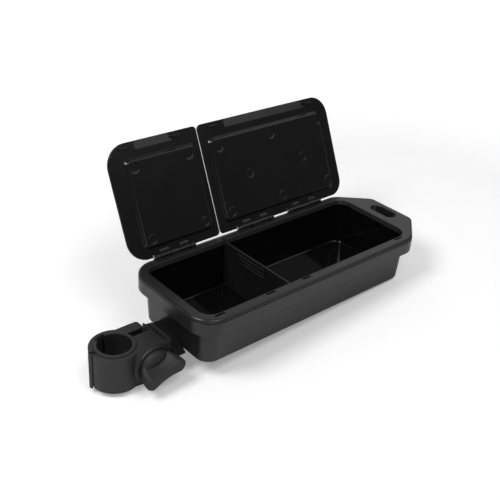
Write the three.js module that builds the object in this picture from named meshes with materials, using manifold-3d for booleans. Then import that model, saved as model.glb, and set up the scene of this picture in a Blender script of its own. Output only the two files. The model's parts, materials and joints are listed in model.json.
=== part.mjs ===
// Clamp-on side tray with two hinged lids. Millimetres, +Z up.
// The origin is the centre of the tub's flat bottom. +X runs towards the carrying tab,
// -X towards the leg clamp, and the lids hinge along the +Y edge. The lids are modelled open.
import * as THREE from "three";
import { mergeVertices } from "three/addons/utils/BufferGeometryUtils.js";
import Module from "manifold-3d";

const wasm = await Module();
wasm.setup();

// ---- driving dimensions ----
const GAP = 0.3; // between neighbouring pieces
const OPEN_X = 130; // half length of the opening
const OPEN_Y = 47.5; // half width of the opening
const OPEN_R = 13.5; // corner radius of the opening
const TOP = 52.5; // top of the frame above the tub's bottom
const RIM = 9.7; // the rim's reach beyond the opening
const PLATE = 3.3; // frame thickness at its outer edge
const LIP = 4.6; // frame thickness around the opening
const SKIRT_LOW = 35.5; // lower edge of the tub's skirt
const SKIRT_WALL = 2.3;
const FLOOR = 2.5; // floor thickness
const WALL = 2.5; // wall thickness at the top
const DRAFT = 2.5; // how far the inside walls lean in at the floor
const TAB_X = 160.2; // outer end of the carrying tab
const TAB_START = 126.5; // where the tab's diagonals leave the long sides
const TAB_HALF = 28; // half width of the tab's outer end
const HANDLE_X = 146; // centre of the hand hole
const HANDLE_HALF_Y = 15;
const HANDLE_HALF_X = 6.5;

const DIVIDER_X = -35;
const DIVIDER_T = 2;
const GROOVE = 0.9; // depth of the grooves that hold the divider

const HINGE_Y = 55.2; // lid hinge axis
const HINGE_Z = 54.1;
const LID_OPEN = THREE.MathUtils.degToRad(114.65);
const LID_UNDER = -1.2; // lid's inner face, from the axis
const LID_OVER = 1.4; // lid's outer face, from the axis
const LID_BACK = 0.6; // lid's back edge, in front of the axis
const LID_FRONT = 109.3; // lid's front edge, in front of the axis
const LEFT_LID = {
  name: "left_lid",
  x0: -137.1,
  x1: -34.7,
  rBack: [20, 4],
  rFront: [22, 4],
  plugInset: [17, 6.6],
  lift: [-105.4, -64],
};
const RIGHT_LID = {
  name: "right_lid",
  x0: -33.4,
  x1: 138.7,
  rBack: [4, 16],
  rFront: [5, 20],
  plugInset: [8.8, 13.8],
  lift: [-0.8, 108.3],
};
const PLUG_H = 2.6; // raised panel on the lid's inner face
const PLUG_BACK = 10;
const PLUG_FRONT = 93.5;
const LIFT_DEPTH = 8; // finger relief, from the lid's front edge
const LIFT_SLANT = 7; // its right end leans over by this much
const LIFT_SLOPE = 0.13;
const BARREL_R = 2.6;
const PIN_R = 1;
const PIN_HOLE_R = 1.12;
const HINGES = [
  { name: "left", lid: "left_lid", x0: -112 },
  { name: "right_1", lid: "right_lid", x0: -11 },
  { name: "right_2", lid: "right_lid", x0: 57.5 },
];
const POST_END = 5.4; // width of a hinge's outer posts
const KNUCKLE = 12.6; // width of a lid knuckle's seat
const POST_MID = 10.5; // width of a hinge's middle post
const HINGE_LENGTH = 2 * POST_END + 2 * KNUCKLE + POST_MID;

const CATCH_Y = -49.6; // latch slots in the front rail
const SLOT_HALF = [5.2, 1];
const BAR_HALF = [4.7, 0.6];
const BAR_H = 3;
const CATCHES = [
  { x: -118, lid: "left_lid" },
  { x: -60, lid: "left_lid" },
  { x: -16.5, lid: "right_lid" },
  { x: 112.5, lid: "right_lid" },
];

const BORE_X = -187.7; // leg clamp bore
const BORE_Y = 5.7;
const CLAMP_TOP = 17.7;
const CLAMP_LOW = -18.8;
const CLAMP_R = 22.6;
const CLAMP_BORE_R = 18.0; // half of a 36 mm leg
const BUSH_BORE_R = 15.1; // half of a 30 mm leg
const BUSH_FLANGE_R = 18.7;
const SEAM_Y = 6.4;
const SLOT_FRONT = 7; // slot between the clamp's two arms
const SLOT_BACK = 13.3;
const ARM_X = -153.8; // end of the back arm
const PLATE_X0 = -150.5; // cross-plate
const PLATE_X1 = -144;
const PLATE_Y0 = -11.5;
const PLATE_Y1 = 18.9;
const HOOK = { x: -208.9, y: 7.4, bead: 1.6, socket: 3.3 };
const RAIL_Y0 = -21.8; // front end of the rail's bar
const RAIL_Y1 = 22.2; // back end, with the stop
const RAIL_STOP = 3; // thickness of the stop and of the step in front
const KNOB_X = -162;
const KNOB_Z = -0.6;
const BOSS_FACE = -18.4; // front face of the knob boss
const KNOB_TILT = THREE.MathUtils.degToRad(15);
const BOLT_R = 2.9;
const NUT_PLAY = 0.8; // lets the nut rock on the bolt as the jaw opens

const FRAME_SCREWS = [
  [-90, -52.45],
  [50, -52.45],
  [-38, 52.45],
  [46.5, 52.45],
  [-135, 0],
  [134.8, 0],
];
const RAIL_SCREWS = [-3, 12];
const RAIL_SCREW_Z = 7;
const RAIL_TOP = 10.5;
const SADDLE_X1 = -139.7; // the shoe's top reaches this far over the rail
const SADDLE_LOW = 11;
const SADDLE_RIDGE = 14.3;

// ---- materials ----
const material = (color, roughness, metalness = 0) =>
  new THREE.MeshStandardMaterial({ color, roughness, metalness });
const satinBlack = material(0x1c1c1d, 0.5);
const glossBlack = material(0x101011, 0.15);
const clampBlack = material(0x1a1a1b, 0.6);
const steel = material(0x9a9da0, 0.3, 1);

// ---- solids ----
function solid(geometry) {
  const bare = geometry.clone();
  for (const key of Object.keys(bare.attributes)) {
    if (key !== "position") bare.deleteAttribute(key);
  }
  const merged = mergeVertices(bare, 1e-4);
  return new wasm.Manifold(
    new wasm.Mesh({
      numProp: 3,
      vertProperties: merged.attributes.position.array,
      triVerts: new Uint32Array(merged.index.array),
    }),
  );
}

const join = (first, ...rest) => rest.reduce((sum, part) => sum.add(part), first);
const cut = (first, ...tools) => tools.reduce((left, tool) => left.subtract(tool), first);

function mesh(name, body, look) {
  const { vertProperties, triVerts } = body.getMesh();
  const indexed = new THREE.BufferGeometry();
  indexed.setAttribute("position", new THREE.BufferAttribute(vertProperties, 3));
  indexed.setIndex(new THREE.BufferAttribute(triVerts, 1));
  const geometry = indexed.toNonIndexed();
  geometry.computeVertexNormals();
  const piece = new THREE.Mesh(geometry, look);
  piece.name = name;
  return piece;
}

function box(x0, x1, y0, y1, z0, z1) {
  const geometry = new THREE.BoxGeometry(x1 - x0, y1 - y0, z1 - z0);
  return solid(geometry.translate((x0 + x1) / 2, (y0 + y1) / 2, (z0 + z1) / 2));
}

// Cylinders along each axis, from one coordinate to another.
function cylinderZ(x, y, z0, z1, r, segments = 24) {
  const geometry = new THREE.CylinderGeometry(r, r, z1 - z0, segments).rotateX(Math.PI / 2);
  return solid(geometry.translate(x, y, (z0 + z1) / 2));
}

function cylinderY(x, z, y0, y1, r, segments = 24) {
  const geometry = new THREE.CylinderGeometry(r, r, y1 - y0, segments);
  return solid(geometry.translate(x, (y0 + y1) / 2, z));
}

function cylinderX(y, z, x0, x1, r, segments = 16) {
  const geometry = new THREE.CylinderGeometry(r, r, x1 - x0, segments).rotateZ(Math.PI / 2);
  return solid(geometry.translate((x0 + x1) / 2, y, z));
}

// The arc at each corner of a convex outline. Corners are [x, y, radius], counter-clockwise.
function cornerArcs(corners) {
  return corners.map(([x, y, r], i) => {
    const before = corners.at(i - 1);
    const after = corners[(i + 1) % corners.length];
    const here = new THREE.Vector2(x, y);
    const arriving = here.clone().sub(new THREE.Vector2(before[0], before[1])).normalize();
    const leaving = new THREE.Vector2(after[0], after[1]).sub(here).normalize();
    const turn = Math.acos(THREE.MathUtils.clamp(arriving.dot(leaving), -1, 1));
    const back = r * Math.tan(turn / 2);
    const start = here.clone().addScaledVector(arriving, -back);
    const centre = start.add(new THREE.Vector2(-arriving.y, arriving.x).multiplyScalar(r));
    const from = Math.atan2(-arriving.x, arriving.y);
    return { centre, r, from, turn };
  });
}

function outline(arcs, offset, steps = 5) {
  const points = [];
  for (const { centre, r, from, turn } of arcs) {
    for (let i = 0; i <= steps; i += 1) {
      const angle = from + (turn * i) / steps;
      const reach = r + offset;
      points.push([centre.x + reach * Math.cos(angle), centre.y + reach * Math.sin(angle)]);
    }
  }
  return points;
}

// A solid through horizontal sections [offset, z], lowest first, of one convex outline.
function loft(arcs, sections, steps) {
  const rings = sections.map(([offset, z]) =>
    outline(arcs, offset, steps).map(([x, y]) => [x, y, z]),
  );
  const count = rings[0].length;
  const index = [];
  for (let k = 0; k + 1 < rings.length; k += 1) {
    for (let i = 0; i < count; i += 1) {
      const j = (i + 1) % count;
      const low = k * count;
      const high = low + count;
      index.push(low + i, low + j, high + j, low + i, high + j, high + i);
    }
  }
  const last = (rings.length - 1) * count;
  for (let i = 1; i + 1 < count; i += 1) {
    index.push(0, i + 1, i, last, last + i, last + i + 1);
  }
  const geometry = new THREE.BufferGeometry();
  geometry.setAttribute("position", new THREE.Float32BufferAttribute(rings.flat(2), 3));
  geometry.setIndex(index);
  return solid(geometry);
}

const rectangle = (x0, x1, y0, y1, r) => [
  [x0, y0, r],
  [x1, y0, r],
  [x1, y1, r],
  [x0, y1, r],
];

// A solid of constant section: points are [a, b], drawn in the XZ plane and swept along Y.
function sweepY(points, y0, y1) {
  const shape = new THREE.Shape(points.map(([a, b]) => new THREE.Vector2(a, b)));
  const geometry = new THREE.ExtrudeGeometry(shape, { depth: y1 - y0, bevelEnabled: false });
  return solid(geometry.rotateX(Math.PI / 2).translate(0, y1, 0));
}

// A constant section along X; points are [y, z].
function sweepX(points, x0, x1) {
  const shape = new THREE.Shape(points.map(([a, b]) => new THREE.Vector2(a, b)));
  const geometry = new THREE.ExtrudeGeometry(shape, { depth: x1 - x0, bevelEnabled: false });
  return solid(geometry.rotateX(Math.PI / 2).rotateZ(Math.PI / 2).translate(x0, 0, 0));
}

// ---- shared outlines ----
const openingArcs = cornerArcs(rectangle(-OPEN_X, OPEN_X, -OPEN_Y, OPEN_Y, OPEN_R));
const rimY = OPEN_Y + RIM;
const rimArcs = cornerArcs([
  [-OPEN_X - RIM, -rimY, OPEN_R + RIM],
  [TAB_START, -rimY, 20],
  [TAB_X, -TAB_HALF, 10],
  [TAB_X, TAB_HALF, 10],
  [TAB_START, rimY, 20],
  [-OPEN_X - RIM, rimY, OPEN_R + RIM],
]);
const handleArcs = cornerArcs(
  rectangle(
    HANDLE_X - HANDLE_HALF_X,
    HANDLE_X + HANDLE_HALF_X,
    -HANDLE_HALF_Y,
    HANDLE_HALF_Y,
    HANDLE_HALF_X - 0.1,
  ),
);

// ---- tray ----
function dividerGroove(z0, z1) {
  const half = DIVIDER_T / 2 + GAP;
  const reach = OPEN_Y + GROOVE;
  return box(DIVIDER_X - half, DIVIDER_X + half, -reach, reach, z0, z1);
}

function tub() {
  const flangeTop = TOP - PLATE - GAP;
  const wallTop = TOP - LIP - GAP;
  const outside = loft(openingArcs, [
    [-3.5, 0],
    [-1.4, 0.9],
    [0.1, 2.4],
    [0.6, 4.4],
    [WALL, SKIRT_LOW + 4],
    [WALL, flangeTop - 1],
  ]);
  const inside = loft(openingArcs, [
    [-DRAFT - 2, FLOOR],
    [-DRAFT - 0.7, FLOOR + 0.6],
    [-DRAFT, FLOOR + 2],
    [0, wallTop - 1],
    [0, TOP],
  ]);
  const lipSeat = loft(openingArcs, [
    [2.2, wallTop],
    [2.2, TOP],
  ]);
  const skirt = loft(rimArcs, [
    [-0.4, SKIRT_LOW],
    [0, SKIRT_LOW + 0.6],
    [0, flangeTop],
  ]);
  const underSkirt = loft(rimArcs, [
    [-SKIRT_WALL, SKIRT_LOW - 1],
    [-SKIRT_WALL, flangeTop - 2.6],
  ]);
  const collar = loft(handleArcs, [
    [2.2, SKIRT_LOW + 7],
    [2.2, flangeTop],
  ]);
  const hole = loft(handleArcs, [
    [0, 0],
    [0, TOP],
  ]);
  const screwHoles = FRAME_SCREWS.map(([x, y]) => cylinderZ(x, y, TOP - 12, TOP, 1.35, 12));
  const railHoles = RAIL_SCREWS.map((y) => cylinderX(y, RAIL_SCREW_Z, -136, -120, 1.9, 14));
  const grooveDepth = -DRAFT + GROOVE;
  const groove = loft(
    openingArcs,
    [
      [grooveDepth, FLOOR + 0.3],
      [GROOVE, wallTop - 1],
      [GROOVE, TOP],
    ],
  ).intersect(dividerGroove(0, TOP));
  const body = join(cut(skirt, underSkirt), outside, collar);
  const drain = cylinderY(-35, 2.4, -50, -44, 0.8, 10);
  return cut(body, inside, lipSeat, hole, groove, drain, ...screwHoles, ...railHoles);
}

function topFrame() {
  const plateLow = TOP - PLATE;
  const plate = loft(rimArcs, [
    [-0.3, plateLow],
    [0, plateLow + 0.3],
    [-0.1, plateLow + 1.2],
    [-0.5, plateLow + 2.1],
    [-1.2, plateLow + 2.8],
    [-2.3, TOP],
  ]);
  const lip = loft(openingArcs, [
    [1.9, TOP - LIP],
    [1.9, plateLow + 1],
  ]);
  const opening = loft(openingArcs, [
    [0, 0],
    [0, TOP - 0.9],
    [0.8, TOP + 0.1],
  ]);
  const hole = loft(handleArcs, [
    [0, 0],
    [0, TOP - 1.2],
    [1.2, TOP + 0.1],
  ]);
  const posts = HINGES.flatMap(({ x0 }) => hingePosts(x0));
  const barrelSeats = HINGES.flatMap(({ x0 }) =>
    knuckleSpans(x0).map(([a, b]) => cylinderX(HINGE_Y, HINGE_Z, a, b, BARREL_R + 0.4)),
  );
  const pinHoles = HINGES.map(({ x0 }) =>
    cylinderX(HINGE_Y, HINGE_Z, x0 - 1, x0 + HINGE_LENGTH + 1, PIN_HOLE_R),
  );
  const [slotX, slotY] = SLOT_HALF;
  const slots = CATCHES.map(({ x }) =>
    box(x - slotX, x + slotX, CATCH_Y - slotY, CATCH_Y + slotY, plateLow - 1, TOP + 1),
  );
  const pilots = FRAME_SCREWS.map(([x, y]) => cylinderZ(x, y, plateLow - 1, TOP - 0.9, 1.3, 12));
  const ring = cut(join(plate, lip), opening, hole, ...slots, ...pilots);
  return cut(join(ring, ...posts), dividerGroove(0, TOP + 1), ...barrelSeats, ...pinHoles);
}

// The seats between a hinge's posts, where the lid's knuckles turn.
function knuckleSpans(x0) {
  const first = x0 + POST_END;
  const second = first + KNUCKLE + POST_MID;
  return [
    [first, first + KNUCKLE],
    [second, second + KNUCKLE],
  ];
}

function hingePosts(x0) {
  const spans = [
    [x0, x0 + POST_END],
    [x0 + POST_END + KNUCKLE, x0 + POST_END + KNUCKLE + POST_MID],
    [x0 + HINGE_LENGTH - POST_END, x0 + HINGE_LENGTH],
  ];
  return spans.map(([a, b]) =>
    join(
      cylinderX(HINGE_Y, HINGE_Z, a, b, BARREL_R),
      box(a, b, HINGE_Y - BARREL_R, HINGE_Y + BARREL_R - 1.2, TOP - PLATE + 0.5, HINGE_Z),
    ),
  );
}

function hingePin(x0) {
  const shank = cylinderX(HINGE_Y, HINGE_Z, x0 - 0.6, x0 + HINGE_LENGTH, PIN_R);
  const head = cylinderX(HINGE_Y, HINGE_Z, x0 - 1.3, x0 - GAP, 1.45, 20);
  return join(shank, head);
}

function frameScrew(x, y) {
  const seat = TOP - PLATE - GAP - 2.6;
  return join(
    cylinderZ(x, y, seat - 1, TOP - PLATE + 2, 1, 12),
    cylinderZ(x, y, seat - GAP - 1.6, seat - GAP, 2, 20),
  );
}

function divider() {
  const half = DIVIDER_T / 2;
  const low = FLOOR + 0.7;
  const bottomReach = OPEN_Y - DRAFT + GROOVE - GAP;
  const topReach = OPEN_Y + GROOVE - GAP;
  const panel = new THREE.Shape([
    new THREE.Vector2(-bottomReach + 1, low),
    new THREE.Vector2(bottomReach - 1, low),
    new THREE.Vector2(topReach, TOP - 0.5),
    new THREE.Vector2(-topReach, TOP - 0.5),
  ]);
  const sheet = new THREE.ExtrudeGeometry(panel, { depth: 2 * half, bevelEnabled: false });
  sheet.rotateX(Math.PI / 2).rotateZ(Math.PI / 2).translate(DIVIDER_X - half, 0, 0);
  return solid(sheet);
}

// ---- lids, drawn closed with the hinge axis as the origin ----
function lid({ name, x0, x1, rBack, rFront, plugInset, lift }) {
  const plateArcs = cornerArcs([
    [x0, -LID_FRONT, rFront[0]],
    [x1, -LID_FRONT, rFront[1]],
    [x1, -LID_BACK, rBack[1]],
    [x0, -LID_BACK, rBack[0]],
  ]);
  const plate = loft(plateArcs, [
    [-0.3, LID_UNDER],
    [0, LID_UNDER + 0.4],
    [0, LID_OVER - 1],
    [-0.4, LID_OVER - 0.3],
    [-1.2, LID_OVER],
  ]);
  const plugArcs = cornerArcs(
    rectangle(x0 + plugInset[0], x1 - plugInset[1], -PLUG_FRONT, -PLUG_BACK, 5),
  );
  const plug = loft(plugArcs, [
    [-1.2, LID_UNDER - PLUG_H],
    [-0.5, LID_UNDER - PLUG_H + 0.5],
    [0, LID_UNDER + 0.5],
  ]);
  const hollow = loft(plugArcs, [
    [-3, LID_OVER - 1.4],
    [-3, LID_OVER + 1],
  ]);
  const mine = HINGES.filter((hinge) => hinge.lid === name);
  const spans = mine.flatMap(({ x0: start }) => knuckleSpans(start));
  const barrels = spans.map(([a, b]) =>
    join(
      cylinderX(0, 0, a + GAP, b - GAP, BARREL_R),
      box(a + GAP, b - GAP, -BARREL_R - 1.4, 0, LID_UNDER, LID_OVER - 0.2),
    ),
  );
  const postRoom = mine.map(({ x0: start }) =>
    cylinderX(0, 0, start - 1.9, start + HINGE_LENGTH + GAP, BARREL_R + 0.5),
  );
  const bores = mine.map(({ x0: start }) =>
    cylinderX(0, 0, start - 1, start + HINGE_LENGTH + 1, PIN_HOLE_R),
  );
  const catches = CATCHES.filter((item) => item.lid === name).map(({ x }) =>
    catchBar(x, CATCH_Y - HINGE_Y),
  );
  const shell = cut(join(plate, plug), hollow, fingerRelief(lift), ...postRoom);
  return cut(join(shell, ...barrels, ...catches), ...bores);
}

function catchBar(x, y) {
  const [halfX, halfY] = BAR_HALF;
  const arcs = cornerArcs(rectangle(x - halfX, x + halfX, y - halfY, y + halfY, 0.4));
  const sections = [
    [-0.2, LID_UNDER - BAR_H],
    [0, LID_UNDER - BAR_H + 0.6],
    [0, LID_UNDER + 0.5],
  ];
  return loft(arcs, sections, 2);
}

// The sloping relief under the front edge of a lid, where a finger lifts it.
function fingerRelief([start, end]) {
  const inner = -LID_FRONT + LIFT_DEPTH;
  const wedge = new THREE.Shape([
    new THREE.Vector2(start, -LID_FRONT - 1),
    new THREE.Vector2(end - LIFT_SLANT, -LID_FRONT - 1),
    new THREE.Vector2(end, inner),
    new THREE.Vector2(start, inner),
  ]);
  const slab = new THREE.ExtrudeGeometry(wedge, { depth: 3, bevelEnabled: false });
  slab.translate(0, -inner, 0).rotateX(-LIFT_SLOPE).translate(0, inner, LID_UNDER - 3);
  return solid(slab);
}

// ---- rail on the tub's end wall ----
function mountRail() {
  const face = PLATE_X1 + GAP;
  const wall = -OPEN_X - WALL - GAP;
  const dovetail = [
    [face + 1, RAIL_TOP],
    [face, RAIL_TOP],
    [face, 9.5],
    [face - 4.4, 11.5],
    [face - 4.4, -1.5],
    [face, 0.5],
    [face + 1, 0.5],
  ];
  const backing = [
    [face + 0.9, 0.5],
    [wall + 1, 0.5],
    [wall + 1, 4],
    [wall, 8],
    [wall, RAIL_TOP],
    [face + 0.9, RAIL_TOP],
  ];
  const ramp = [
    [RAIL_Y0, 0.5],
    [PLATE_Y0 + 1, 0.5],
    [PLATE_Y0 + 1, 8.5],
    [RAIL_Y0, 1.6],
  ];
  const block = join(
    sweepX(ramp, face + 2.2, wall),
    sweepY(backing, PLATE_Y0 - RAIL_STOP, RAIL_Y1),
    sweepY(dovetail, PLATE_Y0, PLATE_Y1 - 0.4),
    box(face - 3.8, face + 3, PLATE_Y1 + GAP, RAIL_Y1, 0.5, 12),
  );
  const pilots = RAIL_SCREWS.map((y) => cylinderX(y, RAIL_SCREW_Z, -143, -120, 1.5, 14));
  return cut(block, ...pilots);
}

function railScrew(y) {
  return join(
    cylinderX(y, RAIL_SCREW_Z, -142, -126.5, 1.2, 14),
    cylinderX(y, RAIL_SCREW_Z, -127.2, -125.6, 3.2, 24),
  );
}

// ---- leg clamp ----
const boreTool = (r) => cylinderZ(BORE_X, BORE_Y, CLAMP_LOW - 1, CLAMP_TOP + 1, r, 48);

// A round outline about the bore.
function boreArcs(r) {
  return cornerArcs(rectangle(BORE_X - r, BORE_X + r, BORE_Y - r, BORE_Y + r, r - 0.01));
}

function clampDisc() {
  const sections = [
    [-0.8, CLAMP_LOW],
    [0, CLAMP_LOW + 0.8],
    [0, CLAMP_TOP - 0.8],
    [-0.8, CLAMP_TOP],
  ];
  return loft(boreArcs(CLAMP_R), sections, 12);
}

const flangeSeat = () =>
  cylinderZ(BORE_X, BORE_Y, CLAMP_TOP - 1.4, CLAMP_TOP + 1, BUSH_FLANGE_R + 0.3, 48);

function arm(x1, y0, y1, r) {
  const arcs = cornerArcs([
    [BORE_X, y0, 0.5],
    [x1, y0, r],
    [x1, y1, r],
    [BORE_X, y1, 0.5],
  ]);
  const sections = [
    [-0.6, CLAMP_LOW],
    [0, CLAMP_LOW + 0.6],
    [0, CLAMP_TOP - 0.6],
    [-0.6, CLAMP_TOP],
  ];
  return loft(arcs, sections, 4);
}

function clampBody() {
  const frontArm = arm(PLATE_X0 + 2, BORE_Y - CLAMP_R, SLOT_FRONT, 1);
  const frontDisc = clampDisc().subtract(box(-230, -160, SEAM_Y, 50, -40, 40));
  const boss = cylinderY(KNOB_X, KNOB_Z, BOSS_FACE, BORE_Y - CLAMP_R + 2, 17.8, 40);
  const dish = cylinderY(KNOB_X, KNOB_Z, BOSS_FACE - 1, BOSS_FACE + 1, 16.4, 40);
  const bolt = cylinderY(KNOB_X, KNOB_Z, -30, 20, BOLT_R + 0.35, 24);
  const washerSeat = cylinderY(KNOB_X, KNOB_Z, BOSS_FACE, BOSS_FACE + 2.4, 6.3, 32);
  const beadRoom = cylinderZ(HOOK.x, HOOK.y, -40, 40, HOOK.socket + GAP, 24);
  const bead = cylinderZ(HOOK.x, HOOK.y, CLAMP_LOW + 1.3, CLAMP_TOP - 1.3, HOOK.bead, 16);
  const neckLow = CLAMP_LOW + 1.5;
  const neckTop = CLAMP_TOP - 1.5;
  const neck = box(HOOK.x - 0.8, HOOK.x + 0.8, HOOK.y - 5.2, HOOK.y, neckLow, neckTop);
  const dovetail = [
    [PLATE_X1 + 1, 9.9],
    [PLATE_X1 - 4.5, 12.3],
    [PLATE_X1 - 4.5, -2.3],
    [PLATE_X1 + 1, 0.1],
  ];
  const trim = join(flangeSeat(), boreTool(CLAMP_BORE_R));
  const half = join(frontDisc, frontArm, boss, crossPlate());
  const trimmed = cut(half, trim, dish, bolt, washerSeat, beadRoom);
  const hooked = join(trimmed, bead, neck);
  return cut(hooked, sweepY(dovetail, PLATE_Y0 - 1, PLATE_Y1 + 1));
}

// The shoe that slides along the rail. Its dished top reaches over the rail.
function crossPlate() {
  const dip = 1.7;
  const top = [];
  for (let i = 0; i <= 8; i += 1) {
    const share = 0.05 + 0.9 * (i / 8);
    const ridge = SADDLE_RIDGE + (CLAMP_TOP - SADDLE_RIDGE) * share;
    const across = SADDLE_X1 + (PLATE_X0 - SADDLE_X1) * share;
    top.push([across, ridge - dip * Math.sin(Math.PI * (i / 8))]);
  }
  const section = [
    [PLATE_X0 + 0.6, CLAMP_LOW],
    [PLATE_X1 - 0.6, CLAMP_LOW],
    [PLATE_X1, CLAMP_LOW + 0.6],
    [PLATE_X1, SADDLE_LOW],
    [SADDLE_X1 - 0.5, SADDLE_LOW],
    [SADDLE_X1, SADDLE_LOW + 0.5],
    [SADDLE_X1, SADDLE_RIDGE - 0.5],
    ...top,
    [PLATE_X0, CLAMP_TOP - 0.6],
    [PLATE_X0, CLAMP_LOW + 0.6],
  ];
  return sweepY(section, PLATE_Y0, PLATE_Y1);
}

function clampJaw() {
  const backArm = arm(ARM_X, SLOT_BACK, BORE_Y + 19, 3);
  const backDisc = clampDisc().subtract(box(-230, -140, -30, SEAM_Y + 0.8, -40, 40));
  const slot = box(BORE_X, -140, -30, SLOT_BACK, -40, 40);
  const socket = cylinderZ(HOOK.x, HOOK.y, CLAMP_LOW, CLAMP_TOP, HOOK.socket, 24);
  const beadRoom = cylinderZ(HOOK.x, HOOK.y, -40, 40, HOOK.bead + 0.25, 16);
  const neckRoom = box(HOOK.x - 1.7, HOOK.x + 1.7, HOOK.y - 6, HOOK.y, -40, 40);
  const bolt = cylinderY(KNOB_X, KNOB_Z, 0, 40, BOLT_R + 1.3, 24);
  const nutSeat = cylinderY(KNOB_X, KNOB_Z, BORE_Y + 13.3, BORE_Y + 20, 6.3, 6);
  const trim = join(flangeSeat(), boreTool(CLAMP_BORE_R));
  const half = join(backDisc.subtract(slot), backArm, socket);
  return cut(half, trim, beadRoom, neckRoom, bolt, nutSeat);
}

function reducerBush() {
  const sleeve = cylinderZ(BORE_X, BORE_Y, CLAMP_LOW + 0.5, CLAMP_TOP, CLAMP_BORE_R - 0.3, 48);
  const flangeSections = [
    [0, CLAMP_TOP - 1],
    [0, CLAMP_TOP + 0.3],
    [-0.4, CLAMP_TOP + 0.8],
  ];
  const flange = loft(boreArcs(BUSH_FLANGE_R), flangeSections, 12);
  const gap = new THREE.Shape();
  const reach = 2 * BUSH_FLANGE_R;
  gap.moveTo(0, 0);
  for (const degrees of [91, 110, 128]) {
    const angle = THREE.MathUtils.degToRad(degrees);
    gap.lineTo(reach * Math.cos(angle), reach * Math.sin(angle));
  }
  const wedge = new THREE.ExtrudeGeometry(gap, { depth: 80, bevelEnabled: false });
  const ring = join(sleeve, flange).subtract(boreTool(BUSH_BORE_R));
  return ring.subtract(solid(wedge.translate(BORE_X, BORE_Y, -40)));
}

// ---- clamping screw, drawn about the Y axis with its seat at y = 0 ----
function wingKnob() {
  const disc = new THREE.LatheGeometry(
    [
      [0, 0.3],
      [15.2, 0.3],
      [15.7, 0.8],
      [15.7, 3.4],
      [14.6, 5.4],
      [11.5, 8],
      [6.5, 10],
      [0, 10.8],
    ].map(([r, h]) => new THREE.Vector2(r, h)),
    32,
  );
  const wingTop = new THREE.Shape();
  wingTop.moveTo(-20.6, -3.5);
  wingTop.bezierCurveTo(-20.6, -7.4, -16.5, -7.6, -13, -6);
  wingTop.bezierCurveTo(-7, -3.4, 4, -3.8, 13, -6.2);
  wingTop.bezierCurveTo(17, -7.4, 20.6, -6.6, 20.6, -2.5);
  wingTop.lineTo(20.6, 3.5);
  wingTop.bezierCurveTo(20.6, 7.4, 16.5, 7.6, 13, 6);
  wingTop.bezierCurveTo(7, 3.4, -4, 3.8, -13, 6.2);
  wingTop.bezierCurveTo(-17, 7.4, -20.6, 6.6, -20.6, 2.5);
  const wing = new THREE.ExtrudeGeometry(wingTop, {
    depth: 14,
    curveSegments: 4,
    bevelThickness: 1,
    bevelSize: 1,
    bevelOffset: -1,
    bevelSegments: 1,
  });
  wing.rotateX(Math.PI / 2).translate(0, -5, 0);
  const hub = solid(disc.rotateX(Math.PI));
  const head = cylinderY(0, 0, -4.7, 1, 5.6, 6);
  const shank = cylinderY(0, 0, -8, 1, BOLT_R + 0.3, 24);
  return cut(join(hub, solid(wing)), head, shank);
}

function clampBolt() {
  return join(
    cylinderY(0, 0, -4.4, -0.9, 5.2, 6),
    cylinderY(0, 0, -2, 41.5, BOLT_R, 24),
  );
}

function ringY(y0, y1, outer, inner, sides) {
  const hole = cylinderY(0, 0, y0 - 1, y1 + 1, inner, 24);
  return cylinderY(0, 0, y0, y1, outer, sides).subtract(hole);
}

// ---- assembly ----
const tray = new THREE.Group();
tray.add(mesh("tub", tub(), glossBlack));
tray.add(mesh("top_frame", topFrame(), satinBlack));
tray.add(mesh("divider", divider(), glossBlack));
tray.add(mesh("mount_rail", mountRail(), satinBlack));
FRAME_SCREWS.forEach(([x, y], i) => {
  tray.add(mesh(`frame_screw_${i + 1}`, frameScrew(x, y), steel));
});
RAIL_SCREWS.forEach((y, i) => {
  tray.add(mesh(`rail_screw_${i + 1}`, railScrew(y), steel));
});
for (const { name, x0 } of HINGES) {
  tray.add(mesh(`hinge_pin_${name}`, hingePin(x0), steel));
}

const lids = new THREE.Group();
lids.position.set(0, HINGE_Y, HINGE_Z);
lids.rotation.x = -LID_OPEN;
lids.add(mesh("left_lid", lid(LEFT_LID), satinBlack));
lids.add(mesh("right_lid", lid(RIGHT_LID), satinBlack));

const clamp = new THREE.Group();
clamp.add(mesh("clamp_body", clampBody(), clampBlack));
clamp.add(mesh("clamp_jaw", clampJaw(), clampBlack));
clamp.add(mesh("reducer_bush", reducerBush(), clampBlack));

const screw = new THREE.Group();
screw.position.set(KNOB_X, BOSS_FACE + 1, KNOB_Z);
screw.add(mesh("bolt_washer", ringY(0, 1.1, 6, BOLT_R + 0.3, 32), steel));
const nutY = BORE_Y + 13.6 - screw.position.y;
screw.add(mesh("jaw_nut", ringY(nutY, nutY + 4.6, 5.9, BOLT_R + NUT_PLAY, 6), steel));
const grip = new THREE.Group();
grip.rotation.y = -KNOB_TILT;
grip.add(mesh("wing_knob", wingKnob(), clampBlack));
grip.add(mesh("clamp_bolt", clampBolt(), steel));
screw.add(grip);

const group = new THREE.Group();
group.add(tray, lids, clamp, screw);
export default group;
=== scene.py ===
"""Clamp-on side tray with two hinged lids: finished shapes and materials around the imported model.

Shapes are drawn in millimetres, in the model's own frame, and turned into metres when a piece
is finished. The tray lies along X, the lids hinge along the +Y edge, and the clamp is at -X.
"""
import json
import math

import bpy
from mathutils import Matrix, Vector


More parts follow.
